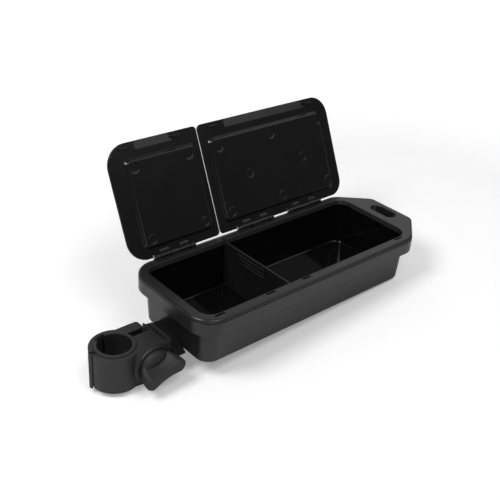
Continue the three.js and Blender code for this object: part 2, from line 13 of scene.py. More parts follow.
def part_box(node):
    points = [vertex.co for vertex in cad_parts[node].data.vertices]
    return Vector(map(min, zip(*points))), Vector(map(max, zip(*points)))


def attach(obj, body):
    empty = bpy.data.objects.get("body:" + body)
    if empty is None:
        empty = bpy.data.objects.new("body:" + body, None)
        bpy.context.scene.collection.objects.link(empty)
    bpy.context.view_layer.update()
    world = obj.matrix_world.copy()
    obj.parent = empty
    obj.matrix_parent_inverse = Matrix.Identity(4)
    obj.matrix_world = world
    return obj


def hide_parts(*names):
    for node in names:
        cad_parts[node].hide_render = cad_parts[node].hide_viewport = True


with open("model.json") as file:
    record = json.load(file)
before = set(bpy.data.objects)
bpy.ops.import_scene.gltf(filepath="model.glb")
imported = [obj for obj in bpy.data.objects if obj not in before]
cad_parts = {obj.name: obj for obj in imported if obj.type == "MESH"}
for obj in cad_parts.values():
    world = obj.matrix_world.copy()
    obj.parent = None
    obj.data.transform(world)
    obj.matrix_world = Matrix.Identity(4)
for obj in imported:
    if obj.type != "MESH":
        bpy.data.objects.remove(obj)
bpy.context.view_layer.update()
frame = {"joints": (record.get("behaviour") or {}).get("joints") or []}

MM = 0.001
joints = {joint["name"]: joint for joint in frame["joints"]}


def corners(node):
    """Lowest and highest corner of a CAD node, in millimetres."""
    low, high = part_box(node)
    return low / MM, high / MM


def pivot(joint):
    return Vector(joints[joint]["pos_m"]) / MM


# ---- driving dimensions ----
tub_high = corners("tub")[1]
frame_low, frame_high = corners("top_frame")
divider_low, divider_high = corners("divider")
bush_low, bush_high = corners("reducer_bush")
clamp_low, clamp_high = corners("clamp_body")
jaw_high = corners("clamp_jaw")[1]
rail_low, rail_high = corners("mount_rail")
left_low, left_high = corners("left_lid")
right_low, right_high = corners("right_lid")
HINGE = pivot("left_lid_hinge")
KNOB = pivot("knob_turn")
HOOK = pivot("jaw_swing")
LID_OPEN = math.radians(-joints["left_lid_hinge"]["range_deg"][0])

GAP = 0.3
RIM = 9.7  # the rim's reach beyond the opening
OPEN_X = -frame_low.x - RIM
OPEN_Y = -frame_low.y - RIM
OPEN_R = 13.5
PLATE = 3.3  # frame thickness at its outer edge
LIP = 4.6  # frame thickness around the opening
LIP_SLOPE = 1.7  # how far the opening's edge slopes inwards below the top
FLANGE_TOP = tub_high.z
TOP = FLANGE_TOP + GAP + PLATE
SKIRT_LOW = 35.5
SKIRT_WALL = 2.3
SKIRT_EDGE = 0.6  # rounding of the skirt's lower edge
SEAM = 0.35  # height of the rebate on the skirt's top edge, under the frame
SEAM_DEPTH = 0.8
FLOOR = 2.5
FLOOR_R = 1.3  # rounding between the floor and the inner walls
WALL = 2.5
WALL_FOOT = 0.6  # the outer wall's reach beyond the opening at its foot
FOOT_R = 4  # rounding around the tub's foot
DRAFT = 2.5
LIP_SEAT = 2.2  # the widened top of the tub's opening, for the frame's lip
LIP_REACH = 1.9  # the lip's reach beyond the opening
TAB_X = frame_high.x
TAB_START = TAB_X - 33.7
TAB_HALF = 28
HANDLE_X = TAB_X - 14.2
HANDLE_HALF_X = 6.5
HANDLE_HALF_Y = 15
COLLAR = 2.2  # wall around the hand hole
COLLAR_LOW = SKIRT_LOW + 7
COLLAR_EDGE = 0.8
DRAIN_Z = 3.2
DRAIN_R = 1.0
FRAME_EDGE = 2.8  # rounding around the frame's top
FRAME_FOOT_EDGE = 0.45
HANDLE_EDGE = 1.6
DIVIDER_X = (divider_low.x + divider_high.x) / 2
DIVIDER_HALF = (divider_high.x - divider_low.x) / 2
GROOVE = 0.9
RIB_HEIGHT = 0.55  # the divider's grip
RIB_HALF = 0.9
RIB_COUNT = 3

LID_UNDER = -1.2  # the closed lid's inner and outer faces, from the hinge axis
LID_OVER = 1.4
LID_BACK = 0.6
LID_FRONT = 109.3
PLUG_H = 2.6
PLUG_BACK = 10
PLUG_FRONT = 93.5
PLUG_R = 5  # corners of the raised panel
PLUG_WALL = 3  # between the raised panel's edge and the hollow behind it
HOLLOW = 1.5  # depth of the hollow in the lid's outer face
MARK_R = 5.6
# for each lid: corner radii (left, right), the raised panel's inset from the left and right edges,
# the finger relief's two ends from the left edge, and the round marks from the left edge and the
# hinge axis
LEFT_LID = {
    "name": "left_lid",
    "x": (left_low.x, left_high.x),
    "back_r": (20, 4),
    "front_r": (22, 4),
    "inset": (17, 6.6),
    "lift": (31.7, 73.1),
    "marks": ((25.4, 85.3), (86, 84.8), (26.3, 18.1), (87.5, 18.5)),
}
RIGHT_LID = {
    "name": "right_lid",
    "x": (right_low.x, right_high.x),
    "back_r": (4, 16),
    "front_r": (5, 20),
    "inset": (8.8, 13.8),
    "lift": (32.6, 141.7),
    "marks": (
        (19, 83.7), (86.5, 83.4), (154.1, 84.9), (49.6, 51),
        (123.1, 51.7), (18.3, 18.8), (85.8, 19.1), (152.6, 19.6),
    ),
}
LIFT_DEPTH = 8  # finger relief: its depth, its leaning end and its slope
LIFT_SLANT = 7
LIFT_SLOPE = 0.13

BARREL_R = 2.6
BARREL_ROOM = 0.4
PIN_R = 1.0
PIN_HOLE_R = 1.12
POST_END = 5.4  # lengths along a hinge: end posts, knuckles and middle post
KNUCKLE = 12.6
POST_MID = 10.5
POST_FOOT = 1.2  # how far a post's foot stops short of its barrel's back
HINGE_LENGTH = 2 * POST_END + 2 * KNUCKLE + POST_MID
PIN_HEAD = 1.3
HINGES = {
    "left_lid": [corners("hinge_pin_left")[0].x + PIN_HEAD],
    "right_lid": [
        corners("hinge_pin_right_1")[0].x + PIN_HEAD,
        corners("hinge_pin_right_2")[0].x + PIN_HEAD,
    ],
}
PINS = ("left", "right_1", "right_2")
CATCH_Y = -(OPEN_Y + 2.1)
CATCH_HALF_X = 4.9
CATCH_HALF_Y = 0.8
CATCH_LENGTH = 3
SLOT_HALF_X = 5.2
SLOT_HALF_Y = 1
CATCHES = {"left_lid": (19.1, 77.1), "right_lid": (16.9, 145.9)}  # from the lid's left edge

BORE = Vector(((bush_low.x + bush_high.x) / 2, (bush_low.y + bush_high.y) / 2, 0))
CLAMP_LOW = clamp_low.z
CLAMP_TOP = clamp_high.z
CLAMP_R = 22.6
CLAMP_BORE_R = 18
BUSH_BORE_R = 15.1
BUSH_FLANGE_R = (bush_high.x - bush_low.x) / 2
SEAM_Y = HOOK.y - 1
SLOT_FRONT = 7
SLOT_BACK = 13.3
ARM_FRONT = -14  # the front arm's face, set back behind the boss
BACK_ARM_Y = BORE.y + 19
BACK_ARM_X = jaw_high.x + 1.2
SADDLE_X1 = clamp_high.x  # the shoe's top reaches this far over the rail
PLATE_X1 = SADDLE_X1 - 4.3
PLATE_X0 = PLATE_X1 - 6.5
SADDLE_LOW = 11
SADDLE_RIDGE = 14.3
SADDLE_DIP = 1.7
RAIL_TOP = 10.5
RAIL_FOOT = 0.5
STOP_TOP = 12  # the stop at the rail's back end
RAMP_END = 1.6  # height of the ramp's front end
PLATE_Y0 = -11.5
PLATE_Y1 = clamp_high.y
BOSS_FACE = KNOB.y - 1
BOSS_R = 17.8
BOSS_FLARE = 7
DISH_R = 16.4
KNOB_TILT = math.radians(15)
BOLT_R = 2.9
WASHER_SEAT_R = 6.3
WASHER_SEAT = 2.4
HEX_R = 5.6  # the knob's socket for the bolt's head
NUT_SOCKET_R = 6.3
BEAD_R = 1.6  # the hook that the jaw swings on, and the socket around it
SOCKET_R = 3.3
CLEAR_Z = 40  # cutters reach this far up and down, and this far to the left
CLEAR_X = -230


# ---- mesh helpers, all in millimetres ----
ORIGIN = (0, 0, 0)
# for each axis: the two directions across it, then the axis itself
AXES = {"X": (1, 2, 0), "Y": (2, 0, 1), "Z": (0, 1, 2)}


def polyhedron(points, faces):
    mesh = bpy.data.meshes.new("solid")
    mesh.from_pydata(points, [], faces)
    mesh.update()
    piece = bpy.data.objects.new("solid", mesh)
    bpy.context.scene.collection.objects.link(piece)
    return piece


def skin(rings):
    """A closed solid through rings of equally many points, anticlockwise seen from the last."""
    count = len(rings[0])
    points = [point for ring in rings for point in ring]
    faces = [tuple(reversed(range(count)))]
    for low in range(0, len(points) - count, count):
        for i in range(count):
            j = (i + 1) % count
            faces.append((low + i, low + j, low + count + j, low + count + i))
    faces.append(tuple(range(len(points) - count, len(points))))
    return polyhedron(points, faces)


def place(axis, across_1, across_2, along):
    point = [0.0, 0.0, 0.0]
    for index, value in zip(AXES[axis], (across_1, across_2, along)):
        point[index] = value
    return tuple(point)


def lathe(axis, centre, profile, steps):
    """A solid of revolution through (radius, distance along the axis), lowest first."""
    first, second, _ = AXES[axis]
    rings = []
    for radius, along in profile:
        ring = []
        for i in range(steps):
            angle = math.tau * i / steps
            across_1 = centre[first] + radius * math.cos(angle)
            across_2 = centre[second] + radius * math.sin(angle)
            ring.append(place(axis, across_1, across_2, along))
        rings.append(ring)
    return skin(rings)


def rod(axis, centre, start, end, radius, edge=0.0, steps=48):
    """A cylinder between two distances along the axis, with both edges rounded by edge."""
    if not edge:
        return lathe(axis, centre, [(radius, start), (radius, end)], steps)
    profile = [
        (radius - edge, start),
        (radius - edge * 0.3, start + edge * 0.3),
        (radius, start + edge),
        (radius, end - edge),
        (radius - edge * 0.3, end - edge * 0.3),
        (radius - edge, end),
    ]
    return lathe(axis, centre, profile, steps)


def prism(axis, outline, start, end):
    """A straight solid of constant section. The outline lists its two coordinates in XYZ order."""
    points = list(outline)
    if axis == "Y":
        points = [(second, first) for first, second in points]
    area = 0.0
    for (a, b), (c, d) in zip(points, points[1:] + points[:1]):
        area += a * d - b * c
    if area < 0:
        points.reverse()
    return skin([[place(axis, a, b, along) for a, b in points] for along in (start, end)])


def block(x0, x1, y0, y1, z0, z1):
    return prism("Z", [(x0, y0), (x1, y0), (x1, y1), (x0, y1)], z0, z1)


def corner_arcs(points):
    """Centre, radius, start angle and turn of each corner of a convex outline of (x, y, radius)."""
    arcs = []
    for i, (x, y, radius) in enumerate(points):
        here = Vector((x, y))
        arriving = (here - Vector(points[i - 1][:2])).normalized()
        leaving = (Vector(points[(i + 1) % len(points)][:2]) - here).normalized()
        turn = math.acos(max(-1.0, min(1.0, arriving.dot(leaving))))
        start = here - arriving * radius * math.tan(turn / 2)
        centre = start + Vector((-arriving.y, arriving.x)) * radius
        arcs.append((centre, radius, math.atan2(-arriving.x, arriving.y), turn))
    return arcs


def outline(arcs, offset, steps):
    points = []
    for centre, radius, start, turn in arcs:
        for i in range(steps + 1):
            angle = start + turn * i / steps
            reach = radius + offset
            points.append((centre.x + reach * math.cos(angle), centre.y + reach * math.sin(angle)))
    return points


def loft(arcs, sections, steps):
    """A solid through level sections (offset, z) of one convex outline, lowest first."""
    return skin([[(x, y, z) for x, y in outline(arcs, offset, steps)] for offset, z in sections])


def rectangle(x0, x1, y0, y1, radius):
    return corner_arcs([(x0, y0, radius), (x1, y0, radius), (x1, y1, radius), (x0, y1, radius)])


def bend(offset, z, radius, start, end, steps):
    """Sections along an arc about (offset, z), from one angle in degrees to another."""
    points = []
    for i in range(steps + 1):
        angle = math.radians(start + (end - start) * i / steps)
        points.append((offset + radius * math.cos(angle), z + radius * math.sin(angle)))
    return points


def round_foot(offset, low, radius, steps=6):
    return bend(offset - radius, low + radius, radius, -90, 0, steps)


def round_top(offset, top, radius, steps=6):
    return bend(offset - radius, top - radius, radius, 0, 90, steps)


def flare_top(offset, top, radius, steps):
    """Sections of a cutter that leaves a rounded edge at the top of its hole."""
    arc = bend(offset + radius, top - radius, radius, 180, 90, steps)
    return [*arc, (offset + radius, top + 1)]


def flare_foot(offset, low, radius, steps):
    """The same at the foot of the hole."""
    arc = bend(offset + radius, low + radius, radius, 270, 180, steps)
    return [(offset + radius, low - 1), *arc]


def bake(piece):
    graph = bpy.context.evaluated_depsgraph_get()
    mesh = bpy.data.meshes.new_from_object(piece.evaluated_get(graph))
    mesh.materials.clear()
    piece.modifiers.clear()
    piece.data = mesh
    return piece


def combine(operation, first, tools):
    for tool in tools:
        modifier = first.modifiers.new(operation, "BOOLEAN")
        modifier.operation = operation
        modifier.solver = "MANIFOLD"
        modifier.object = tool
    bake(first)
    for tool in tools:
        bpy.data.objects.remove(tool)
    return first


def join(first, *rest):
    return combine("UNION", first, rest)


def cut(first, *tools):
    return combine("DIFFERENCE", first, tools)


def meet(first, *tools):
    return combine("INTERSECT", first, tools)


def soften(piece, width):
    """Rounds the sharp edges of a simple solid."""
    modifier = piece.modifiers.new("edges", "BEVEL")
    modifier.width = width
    modifier.segments = 3
    modifier.limit_method = "ANGLE"
    modifier.angle_limit = math.radians(30)
    return bake(piece)


def move(piece, matrix):
    piece.data.transform(matrix)


SMOOTH_ANGLE = math.radians(32)


def finish(piece, name, body, slot, looks, *nodes):
    """Names a piece, turns it into metres, smooths it and stands it in for its CAD nodes."""
    piece.name = name
    piece.data.name = name
    piece.data.transform(Matrix.Scale(MM, 4))
    for look in looks:
        piece.data.materials.append(look)
    piece.data.shade_smooth()
    piece.data.set_sharp_from_angle(angle=SMOOTH_ANGLE)
    normals = piece.modifiers.new("normals", "WEIGHTED_NORMAL")
    normals.keep_sharp = True
    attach(piece, body)
    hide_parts(*nodes)


# ---- materials ----
def node_tree(name):
    material = bpy.data.materials.new(name)
    material.use_nodes = True
    nodes = material.node_tree.nodes
    shader = nodes["Principled BSDF"]
    place_of = nodes.new("ShaderNodeTexCoord")
    return material, nodes, material.node_tree.links, shader, place_of


def noise(nodes, links, place_of, size, detail):
    """Noise with features of the given size in millimetres."""
    texture = nodes.new("ShaderNodeTexNoise")
    texture.inputs["Scale"].default_value = 1 / (size * MM)
    texture.inputs["Detail"].default_value = detail
    links.new(place_of.outputs["Object"], texture.inputs["Vector"])
    return texture.outputs["Fac"]


def remap(nodes, links, source, low, high, from_low=0.3, from_high=0.7):
    ramp = nodes.new("ShaderNodeMapRange")
    ramp.inputs["From Min"].default_value = from_low
    ramp.inputs["From Max"].default_value = from_high
    ramp.inputs["To Min"].default_value = low
    ramp.inputs["To Max"].default_value = high
    links.new(source, ramp.inputs["Value"])
    return ramp.outputs["Result"]


def blend_colours(nodes, links, factor, first, second):
    mix = nodes.new("ShaderNodeMix")
    mix.data_type = "RGBA"
    links.new(factor, mix.inputs["Factor"])
    for socket, colour in (("A", first), ("B", second)):
        target = [item for item in mix.inputs if item.name == socket and item.type == "RGBA"][0]
        if isinstance(colour, tuple):
            target.default_value = (*colour, 1)
        else:
            links.new(colour, target)
    return [item for item in mix.outputs if item.type == "RGBA"][0]


def edge_mask(nodes, links, radius):
    """Nearly zero on flat faces and up to one on sharp edges."""
    rounded = nodes.new("ShaderNodeBevel")
    rounded.samples = 4
    rounded.inputs["Radius"].default_value = radius * MM
    geometry = nodes.new("ShaderNodeNewGeometry")
    dot = nodes.new("ShaderNodeVectorMath")
    dot.operation = "DOT_PRODUCT"
    links.new(rounded.outputs["Normal"], dot.inputs[0])
    links.new(geometry.outputs["Normal"], dot.inputs[1])
    return rounded.outputs["Normal"], remap(nodes, links, dot.outputs["Value"], 1.0, 0.0, 0.6, 0.98)


def plastic(
    name, shade, roughness, grain, grain_size,
    edge_sheen=0.5, spread=0.02, edge=0.35, sheen_lift=0.006,
):
    """Moulded black plastic: mottled tone, uneven gloss, a fine grain and a painted highlight along
    its edges.

    grain_size and edge are in millimetres. edge_sheen is how strongly, in patches, the edges are
    painted paler as a highlight, and sheen_lift is how much paler they are painted. spread is how
    far the roughness varies.
    """
    material, nodes, links, shader, place_of = node_tree(name)
    dark = tuple(value * 0.85 for value in shade)
    pale = tuple(value * 1.15 for value in shade)
    # Painted highlight: the paler colour that the edges are painted with, a sheen standing in for
    # light along them.
    sheen_colour = tuple(value * 1.9 + sheen_lift for value in shade)
    cloud = remap(nodes, links, noise(nodes, links, place_of, 28, 3.0), 0.0, 1.0)
    tone = blend_colours(nodes, links, cloud, dark, pale)
    normal, edges = edge_mask(nodes, links, edge)
    # The painted edge highlight shows only in patches along the edges.
    sheen_patches = remap(nodes, links, noise(nodes, links, place_of, 5, 3.0), 0.0, edge_sheen)
    sheen_mask = nodes.new("ShaderNodeMath")
    sheen_mask.operation = "MULTIPLY"
    links.new(edges, sheen_mask.inputs[0])
    links.new(sheen_patches, sheen_mask.inputs[1])
    colour = blend_colours(nodes, links, sheen_mask.outputs["Value"], tone, sheen_colour)
    links.new(colour, shader.inputs["Base Color"])
    haze = remap(nodes, links, noise(nodes, links, place_of, 22, 2.0),
                 roughness - spread, roughness + spread, 0.15, 0.85)
    links.new(haze, shader.inputs["Roughness"])
    bump = nodes.new("ShaderNodeBump")
    bump.inputs["Strength"].default_value = grain
    bump.inputs["Distance"].default_value = 0.03 * MM
    links.new(noise(nodes, links, place_of, grain_size, 1.0), bump.inputs["Height"])
    links.new(normal, bump.inputs["Normal"])
    links.new(bump.outputs["Normal"], shader.inputs["Normal"])
    shader.inputs["IOR"].default_value = 1.5
    return material


def plated_steel(name):
    """Zinc-plated steel with fine turning marks and a slightly uneven tone."""
    material, nodes, links, shader, place_of = node_tree(name)
    cloud = remap(nodes, links, noise(nodes, links, place_of, 3, 3.0), 0.0, 1.0)
    tone = blend_colours(nodes, links, cloud, (0.42, 0.43, 0.44), (0.58, 0.58, 0.56))
    links.new(tone, shader.inputs["Base Color"])
    shader.inputs["Metallic"].default_value = 1.0
    haze = remap(nodes, links, noise(nodes, links, place_of, 0.8, 2.0), 0.24, 0.42)
    links.new(haze, shader.inputs["Roughness"])
    normal, _ = edge_mask(nodes, links, 0.2)
    bump = nodes.new("ShaderNodeBump")
    bump.inputs["Strength"].default_value = 0.25
    bump.inputs["Distance"].default_value = 0.02 * MM
    links.new(noise(nodes, links, place_of, 0.15, 1.0), bump.inputs["Height"])
    links.new(normal, bump.inputs["Normal"])
    links.new(bump.outputs["Normal"], shader.inputs["Normal"])
    return material


satin = plastic(
    "satin_black_plastic", (0.0115, 0.0115, 0.012), 0.31, 0.06, 0.9,
    edge_sheen=0.3, edge=0.2, sheen_lift=0.003)
lid_satin = plastic(
    "lid_black_plastic", (0.0052, 0.0052, 0.0054), 0.2, 0.015, 0.9,
    edge_sheen=0.3, sheen_lift=0.002)
gloss = plastic(
    "gloss_black_plastic", (0.0038, 0.0038, 0.0039), 0.09, 0.02, 0.8,
    edge_sheen=0.15, spread=0.015, sheen_lift=0.003)
panel_satin = plastic(
    "divider_black_plastic", (0.011, 0.011, 0.0112), 0.28, 0.05, 0.9,
    edge_sheen=0.3, sheen_lift=0.002)
nylon = plastic(
    "clamp_black_nylon", (0.0155, 0.0155, 0.016), 0.5, 0.3, 0.6,
    edge_sheen=0.7, spread=0.03)
knob_nylon = plastic(
    "knob_black_nylon", (0.0155, 0.0155, 0.016), 0.62, 0.3, 0.6, spread=0.03)
steel = plated_steel("zinc_plated_steel")


# ---- shared outlines ----
rim_y = OPEN_Y + RIM
rim_r = OPEN_R + RIM
opening_arcs = rectangle(-OPEN_X, OPEN_X, -OPEN_Y, OPEN_Y, OPEN_R)
rim_arcs = corner_arcs([
    (-OPEN_X - RIM, -rim_y, rim_r),
    (TAB_START, -rim_y, 20),
    (TAB_X, -TAB_HALF, 10),
    (TAB_X, TAB_HALF, 10),
    (TAB_START, rim_y, 20),
    (-OPEN_X - RIM, rim_y, rim_r),
])
handle_arcs = rectangle(
    HANDLE_X - HANDLE_HALF_X, HANDLE_X + HANDLE_HALF_X,
    -HANDLE_HALF_Y, HANDLE_HALF_Y, HANDLE_HALF_X - 0.1,
)


def divider_groove(low, top):
    half = DIVIDER_HALF + GAP
    reach = OPEN_Y + GROOVE
    return block(DIVIDER_X - half, DIVIDER_X + half, -reach, reach, low, top)


def frame_screw_places():
    places = []
    for i in range(1, 7):
        low, high = corners(f"frame_screw_{i}")
        places.append(((low.x + high.x) / 2, (low.y + high.y) / 2))
    return places


def rail_screw_places():
    places = []
    for i in (1, 2):
        low, high = corners(f"rail_screw_{i}")
        places.append(((low.y + high.y) / 2, (low.z + high.z) / 2))
    return places


# ---- tray ----
def tub():
    """The moulded tray with its skirt. Its inside is glossy and its outside satin."""
    wall_top = TOP - LIP - GAP
    outside = [
        *round_foot(WALL_FOOT, 0, FOOT_R), (WALL, SKIRT_LOW + 4), (WALL, FLANGE_TOP - 1),
    ]
    body = loft(opening_arcs, outside, 16)
    seam_low = FLANGE_TOP - SEAM
    skirt = loft(rim_arcs, [
        *round_foot(0, SKIRT_LOW, SKIRT_EDGE, 4),
        (0, seam_low), (-SEAM_DEPTH, seam_low + 0.05), (-SEAM_DEPTH, FLANGE_TOP),
    ], 16)
    under = [
        (-SKIRT_WALL, SKIRT_LOW - 1), *round_top(-SKIRT_WALL, FLANGE_TOP - 2.6, 1.2, 4),
    ]
    ring = cut(skirt, loft(rim_arcs, under, 16))
    collar_edge = round_foot(COLLAR, COLLAR_LOW, COLLAR_EDGE, 4)
    collar = loft(handle_arcs, [*collar_edge, (COLLAR, FLANGE_TOP - 1)], 12)
    whole = join(ring, body, collar)
    inside = [*round_foot(-DRAFT, FLOOR, FLOOR_R), (0, wall_top - 1), (0, TOP)]
    groove_sections = [
        (GROOVE - DRAFT, FLOOR + 0.3), (GROOVE, wall_top - 1), (GROOVE, TOP),
    ]
    groove = meet(loft(opening_arcs, groove_sections, 16), divider_groove(0, TOP))
    tools = [
        loft(opening_arcs, inside, 16),
        loft(opening_arcs, [(LIP_SEAT, wall_top), (LIP_SEAT, TOP)], 16),
        loft(handle_arcs, flare_foot(0, COLLAR_LOW, COLLAR_EDGE, 4) + [(0, TOP)], 12),
        groove,
        rod("Y", (DIVIDER_X, 0, DRAIN_Z), -OPEN_Y - 3, -OPEN_Y + 4, DRAIN_R, steps=24),
    ]
    for x, y in frame_screw_places():
        tools.append(rod("Z", (x, y, 0), TOP - 12, TOP, 1.35, steps=24))
    for y, z in rail_screw_places():
        tools.append(rod("X", (0, y, z), -OPEN_X - 6, -OPEN_X + 10, 1.9, steps=24))
    whole = cut(whole, *tools)
    reach = GROOVE + 0.1
    for face in whole.data.polygons:
        middle = face.center
        outwards = face.normal.x * middle.x / OPEN_X + face.normal.y * middle.y / OPEN_Y
        within = abs(middle.x) < OPEN_X + reach and abs(middle.y) < OPEN_Y + reach
        face.material_index = int(within and outwards < 0.05 and middle.z > FLOOR - 0.1)
    finish(whole, "tub_shell", "tray", "gloss_black", (satin, gloss), "tub")


def knuckle_spans(start):
    first = start + POST_END
    second = first + KNUCKLE + POST_MID
    return [(first, first + KNUCKLE), (second, second + KNUCKLE)]


def post_spans(start):
    middle = start + POST_END + KNUCKLE
    return [
        (start, start + POST_END),
        (middle, middle + POST_MID),
        (start + HINGE_LENGTH - POST_END, start + HINGE_LENGTH),
    ]


def hinge_post(start, end):
    """A barrel with a square foot that stands on the frame."""
    front = HINGE.y - BARREL_R
    back = HINGE.y + BARREL_R - POST_FOOT
    foot_low = TOP - PLATE + 0.5
    section = [(front, foot_low), (front, HINGE.z), (back, HINGE.z), (back, foot_low)]
    foot = prism("X", section, start, end)
    return join(rod("X", HINGE, start, end, BARREL_R, 0.35, 40), foot)


def slot_tool(x):
    arcs = rectangle(
        x - SLOT_HALF_X, x + SLOT_HALF_X, CATCH_Y - SLOT_HALF_Y, CATCH_Y + SLOT_HALF_Y, 0.6)
    return loft(arcs, [(0, TOP - PLATE - 2), *flare_top(0, TOP, 0.3, 3)], 4)


def catch_places(lid):
    left = (LEFT_LID if lid == "left_lid" else RIGHT_LID)["x"][0]
    return [left + distance for distance in CATCHES[lid]]


def top_frame():
    low = TOP - PLATE
    plate = loft(rim_arcs, [
        *round_foot(0, low, FRAME_FOOT_EDGE, 3), *round_top(0, TOP, FRAME_EDGE, 8),
    ], 16)
    lip = loft(opening_arcs, [(LIP_REACH, TOP - LIP), (LIP_REACH, low + 1)], 16)
    opening = [
        (-LIP_SLOPE, 0), (-LIP_SLOPE, TOP - LIP + 0.5), (-LIP_SLOPE + 0.15, TOP - LIP + 0.8),
        (-0.3, TOP - 0.9), *bend(0.4, TOP - 0.7, 0.7, 160, 90, 3), (0.4, TOP + 1),
    ]
    tools = [
        loft(opening_arcs, opening, 16),
        loft(handle_arcs, [(0, 0), *flare_top(0, TOP, HANDLE_EDGE, 5)], 12),
    ]
    tools += [slot_tool(x) for lid in CATCHES for x in catch_places(lid)]
    for x, y in frame_screw_places():
        tools.append(rod("Z", (x, y, 0), low - 1, TOP - 0.9, 1.3, steps=24))
    ring = cut(join(plate, lip), *tools)
    starts = [start for lid in HINGES for start in HINGES[lid]]
    posts = [hinge_post(a, b) for start in starts for a, b in post_spans(start)]
    whole = join(ring, *posts)
    holes = [divider_groove(0, TOP + 1)]
    for start in starts:
        holes.append(rod("X", HINGE, start - 1, start + HINGE_LENGTH + 1, PIN_HOLE_R, steps=24))
        for a, b in knuckle_spans(start):
            holes.append(rod("X", HINGE, a, b, BARREL_R + BARREL_ROOM, steps=40))
    whole = cut(whole, *holes)
    finish(whole, "top_frame_moulding", "tray", "satin_black", (satin,), "top_frame")


def divider():
    """A thin panel with a rounded top edge and a ribbed finger grip on its left face."""
    low = divider_low.z
    top = divider_high.z
    top_reach = divider_high.y
    low_reach = top_reach - DRAFT
    panel = prism("X", [
        (-low_reach + 1, low), (low_reach - 1, low), (top_reach, top), (-top_reach, top),
    ], divider_low.x, divider_high.x)
    panel = soften(panel, 0.7)
    face = divider_low.x
    ribs = []
    for i in range(RIB_COUNT):
        middle = top - 5.0 - 3.8 * i
        back = 26 - 3.4 * i
        rib = block(
            face - RIB_HEIGHT, face + 0.5, -13, back, middle - RIB_HALF, middle + RIB_HALF)
        ribs.append(soften(rib, 0.4))
    whole = join(panel, *ribs)
    finish(whole, "divider_panel", "divider", "gloss_black", (panel_satin,), "divider")


# ---- lids, drawn closed with the hinge axis as the origin ----
def ring_mark(x, distance):
    """The hollow of a round moulding mark: a shallow dish in two steps."""
    face = LID_UNDER - PLUG_H
    profile = [
        (MARK_R, face - 1), (MARK_R, face), (4.9, face + 0.2), (4.3, face + 0.22),
        (3.8, face + 0.4), (3.6, face + 0.42),
    ]
    return lathe("Z", (x, -distance, 0), profile, 48)


def catch_bar(x):
    y = CATCH_Y - HINGE.y
    arcs = rectangle(
        x - CATCH_HALF_X, x + CATCH_HALF_X, y - CATCH_HALF_Y, y + CATCH_HALF_Y, 0.4)
    return loft(arcs, [*round_foot(0, LID_UNDER - CATCH_LENGTH, 0.35, 4), (0, LID_UNDER + 0.5)], 8)


def finger_relief(start, end):
    """A slope under the front edge, with a leaning facet at its right end."""
    inner = -LID_FRONT + LIFT_DEPTH
    front = -LID_FRONT - 1
    deep = LID_UNDER + LIFT_SLOPE * (LIFT_DEPTH + 1)
    shallow = LID_UNDER + 0.25
    rings = [[(start, front, z), (end, front, z), (end, inner, z), (start, inner, z)]
             for z in (LID_UNDER - 3, LID_UNDER)]
    rings.append([
        (start + 0.6, front, deep), (end - LIFT_SLANT, front, deep),
        (end - 0.1, inner - 0.1, shallow), (start + 0.1, inner - 0.1, shallow),
    ])
    return skin(rings)


def knuckle(start, end):
    """A barrel with its tongue into the lid."""
    barrel = rod("X", ORIGIN, start + GAP, end - GAP, BARREL_R, 0.3, 40)
    tongue = block(start + GAP, end - GAP, -BARREL_R - 1.4, 0, LID_UNDER, LID_OVER - 0.2)
    return join(barrel, tongue)


def knuckle_pocket(start, end):
    """A hollow in the lid's inner face beside each barrel, deepest away from the hinge."""
    section = [
        (-3.9, LID_UNDER - 1), (-3.9, LID_UNDER + 0.3), (-5.3, LID_UNDER + 0.3),
        (-7.2, LID_UNDER + 1.2), (-7.2, LID_UNDER - 1),
    ]
    return prism("X", section, start + 1.2, end - 1.2)


def lid(shape):
    """A plate with a raised panel inside, a hollow behind it, catch bars and knuckles."""
    name = shape["name"]
    x0, x1 = shape["x"]
    back_r = shape["back_r"]
    front_r = shape["front_r"]
    plate_arcs = corner_arcs([
        (x0, -LID_FRONT, front_r[0]), (x1, -LID_FRONT, front_r[1]),
        (x1, -LID_BACK, back_r[1]), (x0, -LID_BACK, back_r[0]),
    ])
    plate = loft(plate_arcs, [*round_foot(0, LID_UNDER, 0.5, 4), *round_top(0, LID_OVER, 1.3)], 16)
    inset = shape["inset"]
    plug_arcs = rectangle(x0 + inset[0], x1 - inset[1], -PLUG_FRONT, -PLUG_BACK, PLUG_R)
    foot = bend(-2.5, LID_UNDER - PLUG_H + 2, 2, -90, -24, 7)
    root = bend(0.8, LID_UNDER - 0.8, 0.8, 156, 90, 5)
    plug = loft(plug_arcs, [*foot, *root, (0.8, LID_UNDER + 0.5)], 12)
    hollow = loft(plug_arcs, [
        *round_foot(-PLUG_WALL, LID_OVER - HOLLOW, 0.8, 5),
        *flare_top(-PLUG_WALL, LID_OVER, 0.6, 4),
    ], 12)
    starts = HINGES[name]
    spans = [span for start in starts for span in knuckle_spans(start)]
    lift = shape["lift"]
    tools = [hollow, finger_relief(x0 + lift[0], x0 + lift[1])]
    tools += [ring_mark(x0 + x, distance) for x, distance in shape["marks"]]
    for start in starts:
        end = start + HINGE_LENGTH + GAP
        tools.append(rod("X", ORIGIN, start - 1.9, end, BARREL_R + 0.5))
    tools += [knuckle_pocket(a, b) for a, b in spans]
    shell = cut(join(plate, plug), *tools)
    bars = [catch_bar(x) for x in catch_places(name)]
    whole = join(shell, *bars, *[knuckle(a, b) for a, b in spans])
    bores = [
        rod("X", ORIGIN, start - 1, start + HINGE_LENGTH + 1, PIN_HOLE_R, steps=24)
        for start in starts
    ]
    whole = cut(whole, *bores)
    opened = Matrix.Rotation(-LID_OPEN, 4, "X")
    move(whole, Matrix.Translation(HINGE * Vector((0, 1, 1))) @ opened)
    finish(whole, f"{name}_moulding", name, "satin_black", (lid_satin,), name)


